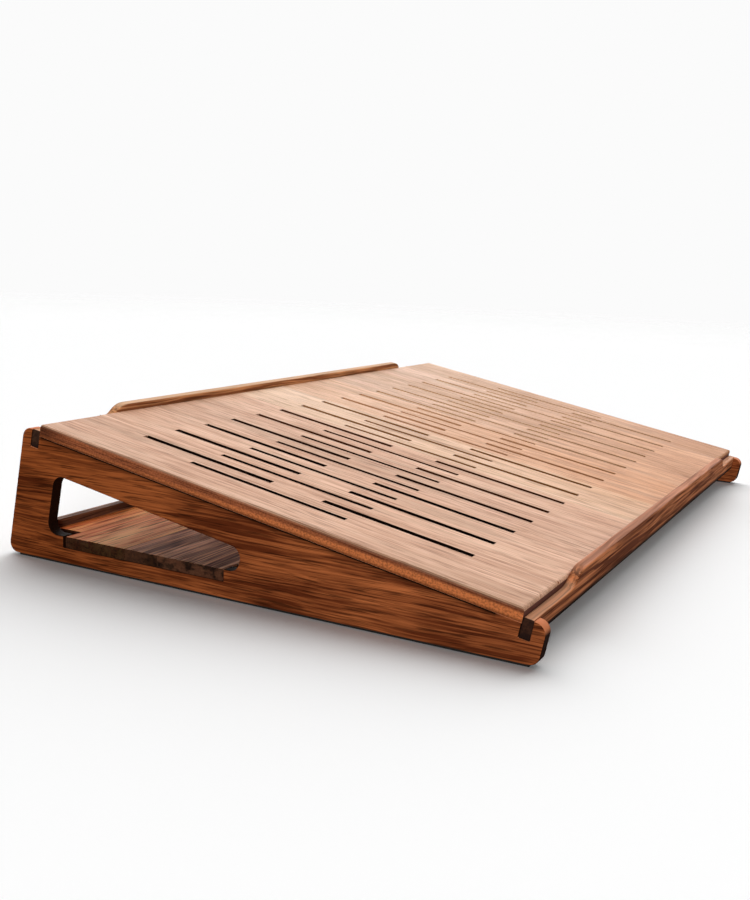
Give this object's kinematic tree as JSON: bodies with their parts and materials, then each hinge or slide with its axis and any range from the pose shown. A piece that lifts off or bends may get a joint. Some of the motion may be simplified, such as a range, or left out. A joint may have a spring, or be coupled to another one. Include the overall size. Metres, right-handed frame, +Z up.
{
  "type": "laptop stand",
  "caption": "sloping wooden laptop stand with a slotted edge-glued top, lipped front and back rails, windowed wedge sides and a storage shelf open at the back",
  "frame": {"origin": "on the desk, at the centre of the outline", "axes": "+X along the stand's width, +Y from the low front edge to the high back edge, +Z up"},
  "size_m": [0.446, 0.2828, 0.0726],
  "materials": {
    "side_walnut": "oiled red-brown walnut",
    "top_walnut": "oiled pale walnut staves",
    "rail_walnut": "oiled walnut",
    "shelf_walnut": "oiled dark walnut",
    "foot_rubber": "matt black"
  },
  "bodies": {
    "root": {"back_rail": "rail_walnut", "front_rail": "rail_walnut", "left_foot_strip": "foot_rubber", "left_side_panel": "side_walnut", "right_foot_strip": "foot_rubber", "right_side_panel": "side_walnut", "shelf_back_lip": "shelf_walnut", "shelf_back_stave": "shelf_walnut", "shelf_front_stave": "shelf_walnut", "shelf_middle_stave": "shelf_walnut", "top_stave_01": "top_walnut", "top_stave_02": "top_walnut", "top_stave_03": "top_walnut", "top_stave_04": "top_walnut", "top_stave_05": "top_walnut", "top_stave_06": "top_walnut", "top_stave_07": "top_walnut", "top_stave_08": "top_walnut", "top_stave_09": "top_walnut", "top_stave_10": "top_walnut", "top_stave_11": "top_walnut"}
  },
  "joints": []
}
